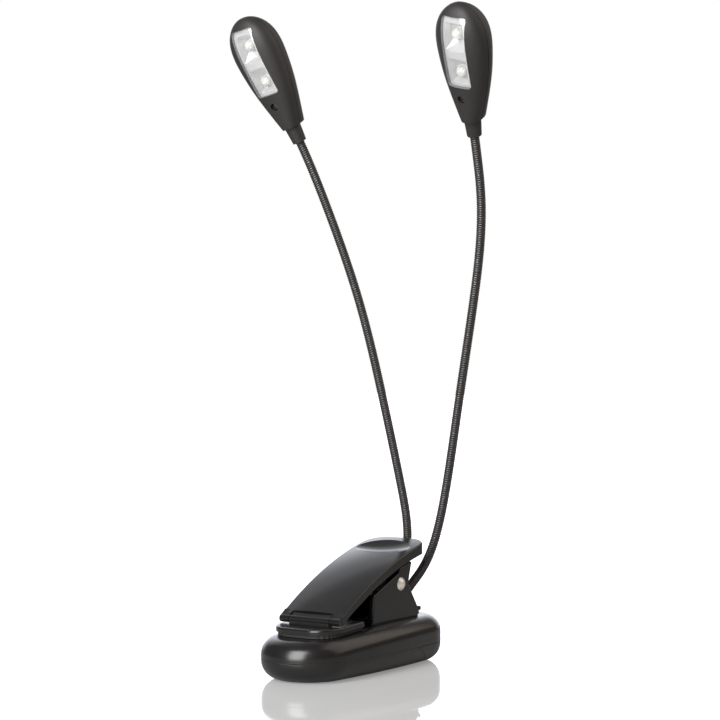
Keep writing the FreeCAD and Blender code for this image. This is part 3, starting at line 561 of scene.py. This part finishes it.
def floor_finish():
    """White table that keeps the shadow and glows plain white far away; at low angles it mirrors."""
    stage = bpy.context.scene.lamp_stage
    finish = Finish("white_table")
    tree = finish.tree
    tree.nodes.remove(finish.shader)
    distance = finish.node("ShaderNodeVectorMath", {"operation": "LENGTH"}, (finish.place(),), output="Value")
    far = finish.step(distance, 0.2, 0.6)
    plain = finish.node("ShaderNodeBsdfDiffuse", values={"Color": (0.4, 0.4, 0.4, 1)})
    shaded = finish.node("ShaderNodeBsdfDiffuse",
                         values={"Color": finish.blend(far, (0.5, 0.5, 0.5, 1), (0, 0, 0, 1))})
    glow = finish.node("ShaderNodeEmission", values={"Color": (1, 1, 1, 1), "Strength": far * 0.6 + 0.5})
    gloss = finish.node("ShaderNodeBsdfGlossy", values={"Color": (1, 1, 1, 1), "Roughness": 0.035})
    lit = finish.node("ShaderNodeAddShader", values=(glow, shaded))
    facing = finish.node("ShaderNodeLayerWeight", values={"Blend": 0.5}, output="Facing")
    mirrored = finish.step(facing, 0.6, 0.82) * stage.mirror
    coated = finish.node("ShaderNodeMixShader", values=(mirrored, lit, gloss))
    shown = finish.node("ShaderNodeMixShader", values=(seen(finish, mirrored=0.06), plain, coated))
    tree.links.new(shown.socket, tree.nodes["Material Output"].inputs["Surface"])
    return finish.material


def world_finish():
    """White backdrop, which mirrors show as a pale panel behind the lamp in a dim room."""
    along, across = view_axes()
    world = bpy.data.worlds.new("studio")
    bpy.context.scene.world = world
    world.use_nodes = True
    finish = Finish("studio", tree=world.node_tree)
    direction = finish.node("ShaderNodeTexCoord", output="Generated")

    def facing(axis):
        return finish.node("ShaderNodeVectorMath", {"operation": "DOT_PRODUCT"},
                           {0: direction, 1: tuple(axis)}, output="Value")

    behind = finish.step(facing(along), 0.72, 1.0)
    warm = finish.step(facing(across), 0.0, 0.9)
    room = finish.blend(warm, (0.105, 0.107, 0.115, 1), (0.15, 0.125, 0.1, 1))
    mirrored = finish.blend(behind, room, (2.1, 2.14, 2.3, 1))
    shown = finish.blend(seen(finish, mirrored=0.0), mirrored, (1, 1, 1, 1))
    background = world.node_tree.nodes["Background"]
    world.node_tree.links.new(shown.socket, background.inputs["Color"])
    background.inputs["Strength"].default_value = 1.0


class LAMP_OT_stage(bpy.types.Operator):
    """Table, backdrop, soft lamps and camera"""
    bl_idname = "lamp.stage"
    bl_label = "Stage"

    def execute(self, context):
        stage = context.scene.lamp_stage
        along, across = view_axes()
        deselect_all()
        bpy.ops.mesh.primitive_plane_add(size=TABLE_SIZE, location=(0, 0, -TABLE_DROP))
        floor = context.object
        floor.name = "table"
        settle(floor)
        dress(floor, floor_finish())
        world_finish()
        soft_light("key_softbox", azimuth=32, elevation=22, distance=1.0, size=(0.6, 1.0), power=21)
        soft_light("back_softbox", azimuth=165, elevation=33, distance=1.1, size=(1.0, 0.45), power=1.0,
                   colour=(0.93, 0.95, 1.0))
        soft_light("top_softbox", azimuth=150, elevation=62, distance=1.1, size=(0.9, 0.7), power=0.5,
                   colour=(0.95, 0.97, 1.0))
        soft_light("right_fill", azimuth=-98, elevation=42, distance=0.8, size=(0.9, 0.9), power=2.6,
                   colour=(1.0, 0.92, 0.84))
        spot = -along * stage.distance + across * CAMERA_SIDESTEP + UP * stage.height
        bpy.ops.object.camera_add(location=spot, rotation=(math.radians(90), 0, stage.azimuth))
        camera = context.object
        camera.data.lens = 100
        camera.data.sensor_width = 36
        camera.data.clip_start = 0.01
        context.scene.camera = camera
        context.scene.view_settings.view_transform = "Standard"
        return {"FINISHED"}


# ---------------------------------------------------------------- solid pieces that keep their form

class LAMP_OT_mouldings(bpy.types.Operator):
    """Base shells, tower, lever and jaw foot in satin black moulding, and their rubber parts"""
    bl_idname = "lamp.mouldings"
    bl_label = "Mouldings"

    def execute(self, context):
        body = moulded_plastic("base_moulding", roughness=0.26, grain=0.3, seam=SEAM_Z)
        plain = moulded_plastic("tower_moulding", roughness=0.23)
        glossy = moulded_plastic("lever_moulding", roughness=0.17, grain=0.8)
        for node in ("base_upper_shell", "base_lower_shell", "battery_door"):
            dress_node(node, body)
        dress_node("tower", plain)
        dress_node("jaw_foot", plain)
        dress_node("lever", glossy)
        dress_node("jaw_foot_pad", soft_rubber("pad_rubber", ribs=1.6))
        dress_node("neck_bushings", soft_rubber("bushing_rubber"))
        return {"FINISHED"}


class LAMP_OT_hardware(bpy.types.Operator):
    """Rivet, pins, springs, screws, cells and contacts"""
    bl_idname = "lamp.hardware"
    bl_label = "Hardware"

    def execute(self, context):
        rivet = bright_steel("rivet_steel", tint=(0.97, 0.91, 0.8), roughness=0.2, metal=0.35)
        dress_node("pivot_pin", rivet)
        steel = bright_steel("plain_steel", tint=(0.55, 0.55, 0.55), roughness=0.3)
        for node in ("jaw_hinge_pin", "torsion_spring", "battery_springs"):
            dress_node(node, steel)
        dress_node("base_screws", dark_screw("base_screw_steel"))
        dress_node("battery_contacts", bright_steel("contact_plate", tint=(0.75, 0.66, 0.42), roughness=0.28))
        wrap = cell_wrap("cell_wrap")
        for number in (1, 2, 3):
            dress_node("battery_cell_%d" % number, wrap)
        return {"FINISHED"}


# ---------------------------------------------------------------- goosenecks

def route_points(side):
    """The route's points on one side, in metres, up to the collar's foot."""
    sign = -1 if side == "left" else 1
    spots = [Vector((sign * x, y, z)) for x, y, z in ROUTE] + [Vector(COLLAR_FOOT[side])]
    return [spot * MM for spot in spots]


def route_slopes(spots, first, last, rounds=80):
    """Slopes at the points that make a cubic run through them with even curvature, and the gaps."""
    gaps = [(b - a).length for a, b in zip(spots, spots[1:])]
    slopes = [first] + [(c - a).normalized() for a, c in zip(spots, spots[2:])] + [last]
    for _ in range(rounds):
        for i in range(1, len(spots) - 1):
            g, h = gaps[i - 1], gaps[i]
            pull = 3 * ((spots[i] - spots[i - 1]) / g ** 2 + (spots[i + 1] - spots[i]) / h ** 2)
            slopes[i] = (pull - slopes[i - 1] / g - slopes[i + 1] / h) / (2 / g + 2 / h)
    return slopes, gaps


def neck_line(side):
    """The neck's centre line as a curve object, and its length."""
    spots = route_points(side)
    first, last = (spots[1] - spots[0]).normalized(), Vector(HEAD_LEAN[side]).normalized()
    slopes, gaps = route_slopes(spots, first, last)
    curve = bpy.data.curves.new(side + "_neck_line", "CURVE")
    curve.dimensions = "3D"
    curve.resolution_u = 40
    spline = curve.splines.new("BEZIER")
    spline.bezier_points.add(len(spots) - 1)
    for i, (point, spot, slope) in enumerate(zip(spline.bezier_points, spots, slopes)):
        point.co = spot
        point.handle_left_type = point.handle_right_type = "FREE"
        point.handle_left = spot - slope * gaps[max(i - 1, 0)] / 3
        point.handle_right = spot + slope * gaps[min(i, len(gaps) - 1)] / 3
    line = bpy.data.objects.new(curve.name, curve)
    bpy.context.scene.collection.objects.link(line)
    return line, spline.calc_length()


def one_turn(name, start, pitch):
    """One turn of the wound wire about +X, its ends a pitch apart."""
    neck = bpy.context.scene.lamp_neck
    around, across = 20, 4
    deselect_all()
    bpy.ops.mesh.primitive_grid_add(x_subdivisions=across, y_subdivisions=around, size=2)
    piece = bpy.context.object
    piece.name = name
    mesh = edit(piece)
    for corner in mesh.verts:
        along, angle = (corner.co.x + 1) / 2, (corner.co.y + 1) * math.pi
        radius = neck.radius - neck.groove * (1 + math.cos(2 * math.pi * along)) ** 2 / 4
        corner.co = Vector((start + pitch * (along + angle / (2 * math.pi)),
                            radius * math.cos(angle), radius * math.sin(angle)))
    close_edit(piece)
    return piece


def ridged_length(name, line, start, pitch, turns):
    """Turns of gooseneck from a distance along the centre line."""
    piece = one_turn(name, start, pitch)
    modify(piece, "ARRAY", count=turns, use_relative_offset=False, use_constant_offset=True,
           constant_offset_displace=(pitch, 0, 0), use_merge_vertices=True, merge_threshold=1e-5)
    edit(piece)
    bpy.ops.mesh.select_all(action="SELECT")
    bpy.ops.mesh.remove_doubles(threshold=1e-5)
    bpy.ops.mesh.normals_make_consistent(inside=False)
    bpy.ops.object.mode_set(mode="OBJECT")
    modify(piece, "CURVE", object=line, deform_axis="POS_X")
    smooth(piece, 80)
    return piece


class LAMP_OT_goosenecks(bpy.types.Operator):
    """The two ridged goosenecks, each in lengths split at the bends, in place of the solid model's neck parts
    """
    bl_idname = "lamp.goosenecks"
    bl_label = "Goosenecks"

    def execute(self, context):
        finish = blackened_steel("blackened_steel")
        joints = {joint["name"]: joint for joint in frame["joints"]}
        for side in SIDES:
            line, length = neck_line(side)
            bodies = ["base"] + ["%s_neck_%d" % (side, i) for i in range(2, 7)] + [side + "_head"]
            start = RIDGES_START * MM
            turns = round((length - start) / context.scene.lamp_neck.pitch)
            pitch = (length - start) / turns
            cuts = [0] + [round((at * MM - start) / pitch) for at in RIDGES_CUTS] + [turns]
            bends = sorted([name for name in joints if name.startswith(side + "_") and "_bend_" in name],
                           key=lambda name: name[-1])
            for i, bend in enumerate(bends):
                piece = ridged_length("%s_gooseneck_%d" % (side, i + 1), line,
                                      start + cuts[i] * pitch, pitch, cuts[i + 1] - cuts[i])
                dress(piece, finish)
                bodies[i + 1]
                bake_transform(piece)
                covered = ["%s_neck_%d" % (side, i + 1)]
                if bend == bends[-1]:
                    covered.append(side + "_neck_7")
                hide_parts(*covered)
            bpy.data.objects.remove(line)
        return {"FINISHED"}


# ---------------------------------------------------------------- heads

def head_frame(side):
    """Matrix that stands an upright head on the foot of its collar, face forwards and down."""
    up = Vector(HEAD_LEAN[side]).normalized()
    forward = Vector((0, -1, 0))
    face = (forward - up * up.dot(forward)).normalized()
    axes = Matrix((up.cross(face), -face, up)).transposed().to_4x4()
    turn = Matrix.Rotation(math.radians(HEAD_TURN[side]), 4, "Z")
    return Matrix.Translation(Vector(COLLAR_FOOT[side]) * MM) @ axes @ turn


def mount(side, piece, finish, node=None, body=None):
    """Stand a piece made on the upright head in its place, dress it, let it ride and replace a CAD node."""
    piece.matrix_world = head_frame(side)
    settle(piece)
    dress(piece, finish)
    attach(piece, body or side + "_head")
    if node:
        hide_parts(node)


def upright_reach(side, node):
    """Nearest and furthest reach of a CAD node from front to back of its upright head, in millimetres."""
    back = head_frame(side).inverted()
    reach = [(back @ vertex.co).y / MM for vertex in frame["nodes"][node].data.vertices]
    return min(reach), max(reach)


def turned(name, station, profile, corners):
    """Round piece facing the front of an upright head, from (radius, y) pairs."""
    angles = [2 * math.pi * i / corners for i in range(corners)]
    return stack(name, [[Vector((radius * math.cos(a), y, station + radius * math.sin(a))) * MM
                         for a in angles] for radius, y in profile])


def led_lens(name, station):
    """Clear body with a flange and a dome."""
    tip = BOARD_FRONT - LED_BODY
    dome = [(LED_RADIUS * math.cos(a), tip - LED_RADIUS * math.sin(a))
            for a in (math.radians(11 * i) for i in range(8))]
    foot = [(LED_FLANGE_RADIUS - 0.13, BOARD_FRONT - 0.02), (LED_FLANGE_RADIUS, BOARD_FRONT - 0.15),
            (LED_FLANGE_RADIUS, BOARD_FRONT - 0.75), (LED_FLANGE_RADIUS - 0.1, BOARD_FRONT - 0.88),
            (LED_RADIUS, BOARD_FRONT - 0.92)]
    piece = turned(name, station, foot + dome + [(0.1, tip - LED_RADIUS + 0.002)], 40)
    smooth(piece, 30)
    return piece


def led_cup(name, station):
    """Round reflector cup on a short post, inside the lens."""
    foot = BOARD_FRONT - 0.1
    profile = [(1.5, foot), (1.6, foot - 1.2), (CUP_RADIUS, CUP_RIM + 0.1), (CUP_RADIUS, CUP_RIM),
               (CUP_RADIUS - 0.2, CUP_RIM), (1.1, CUP_RIM + 0.8), (0.3, CUP_RIM + 0.85)]
    cup = turned(name, station, profile, 24)
    smooth(cup, 40)
    return cup


def led_chip(name, station):
    """Phosphor blob in the cup."""
    profile = [(1.0, CUP_RIM + 0.75), (1.35, CUP_RIM + 0.4), (1.3, CUP_RIM + 0.15), (0.8, CUP_RIM - 0.1),
               (0.2, CUP_RIM - 0.18)]
    blob = turned(name, station, profile, 20)
    smooth(blob, 50)
    return blob


def pan_screw(name, station, top):
    """Small cross-recess screw head with a rounded edge, and its thread's core."""
    edge, core = SCREW_RADIUS - 0.02, 0.6
    profile = [(core, top + 8.5), (core, top + 1.2), (edge, top + 1.18), (edge, top + 0.5),
               (edge - 0.2, top + 0.2), (SCREW_RADIUS - 0.6, top + 0.04), (0.3, top)]
    screw = turned(name, station, profile, 32)
    for half_x, half_z in ((RECESS_ARM, RECESS_WIDTH), (RECESS_WIDTH, RECESS_ARM)):
        deselect_all()
        bpy.ops.mesh.primitive_cube_add(size=2, location=(0, top * MM, station * MM))
        recess = bpy.context.object
        recess.scale = (half_x * MM, RECESS_DEPTH * MM, half_z * MM)
        settle(recess)
        carve(screw, recess)
    smooth(screw, 35)
    return screw


def ring_groove(outer, top):
    """Corners of a groove in a button's top, from its outer edge inwards."""
    return [(outer, top), (outer - 0.08, top - 0.28), (outer - 0.4, top - 0.28), (outer - 0.48, top)]


def push_button(name, low, high):
    """Domed rubber button with two grip grooves."""
    side = [(BUTTON_RADIUS - 0.3, low), (BUTTON_RADIUS, low + 0.3), (BUTTON_RADIUS, high - 0.55),
            (BUTTON_RADIUS - 0.2, high - 0.2), (BUTTON_RADIUS - 0.6, high - 0.05)]
    profile = side + ring_groove(2.5, high - 0.02) + ring_groove(1.4, high) + [(0.2, high)]
    button = turned(name, BUTTON_STATION, profile, 36)
    smooth(button, 40)
    return button


def well_mirror(side, finish):
    """The reflector's own form with its edges rounded."""
    node = side + "_head_reflector"
    mirror = welded_copy(node, side + "_well_mirror")
    modify(mirror, "BEVEL", width=WELL_ROUND * MM, segments=2, limit_method="ANGLE",
           angle_limit=math.radians(35))
    smooth(mirror, 20)
    dress(mirror, finish)
    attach(mirror, side + "_head")
    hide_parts(node)


class LAMP_OT_heads(bpy.types.Operator):
    """Both lamp heads: shells, collar, window, reflector, LEDs, board, switch and button"""
    bl_idname = "lamp.heads"
    bl_label = "Heads"

    def execute(self, context):
        shell = moulded_plastic("head_moulding", roughness=0.56, lift=1.0)
        finishes = {
            "front_shell": shell, "back_shell": shell, "collar": shell,
            "window": clear_plastic("window_clear"),
            "led_board": circuit_board("board_laminate"),
            "switch": soft_rubber("switch_body"),
        }
        silver = silvered_plastic("reflector_silver")
        resin = led_resin("led_resin")
        phosphor = led_phosphor("led_phosphor")
        cup_steel = bright_steel("led_cup")
        screw_steel = dark_screw("head_screw_steel")
        rubber = soft_rubber("button_rubber")
        for side in SIDES:
            node = side + "_head_"
            for name, finish in finishes.items():
                dress_node(node + name, finish)
            well_mirror(side, silver)
            lenses = join(side + "_led_lenses", [led_lens("lens", station) for station in LED_STATIONS])
            mount(side, lenses, resin, node + "leds")
            cups = join(side + "_led_cups", [led_cup("cup", station) for station in LED_STATIONS])
            mount(side, cups, cup_steel)
            chips = join(side + "_led_chips", [led_chip("chip", station) for station in LED_STATIONS])
            mount(side, chips, phosphor)
            top = upright_reach(side, node + "screw")[0]
            screw = pan_screw(side + "_pan_screw", SCREW_STATION, top)
            mount(side, screw, screw_steel, node + "screw")
            button = push_button(side + "_push_button", *upright_reach(side, node + "button"))
            mount(side, button, rubber, node + "button", side + "_button")
        return {"FINISHED"}


# ---------------------------------------------------------------- panel and start

OPERATORS = (LAMP_OT_stage, LAMP_OT_mouldings, LAMP_OT_hardware, LAMP_OT_goosenecks, LAMP_OT_heads)


class LAMP_PT_panel(bpy.types.Panel):
    """Buttons that build the lamp, and its sizes and colours"""
    bl_idname = "LAMP_PT_panel"
    bl_label = "Clip-on Lamp"
    bl_space_type = "VIEW_3D"
    bl_region_type = "UI"
    bl_category = "Lamp"

    def draw(self, context):
        for operator in OPERATORS:
            self.layout.operator(operator.bl_idname)
        for name, group in SETTINGS.items():
            box = self.layout.box()
            for field in group.__annotations__:
                box.prop(getattr(context.scene, name), field)


CLASSES = tuple(SETTINGS.values()) + OPERATORS + (LAMP_PT_panel,)


def register():
    for item in CLASSES:
        bpy.utils.register_class(item)
    for name, group in SETTINGS.items():
        setattr(bpy.types.Scene, name, bpy.props.PointerProperty(type=group))


def unregister():
    for name in SETTINGS:
        delattr(bpy.types.Scene, name)
    for item in reversed(CLASSES):
        bpy.utils.unregister_class(item)


def main():
    register()
    for operator in OPERATORS:
        family, verb = operator.bl_idname.split(".")
        getattr(getattr(bpy.ops, family), verb)()


if __name__ == "__main__":
    main()
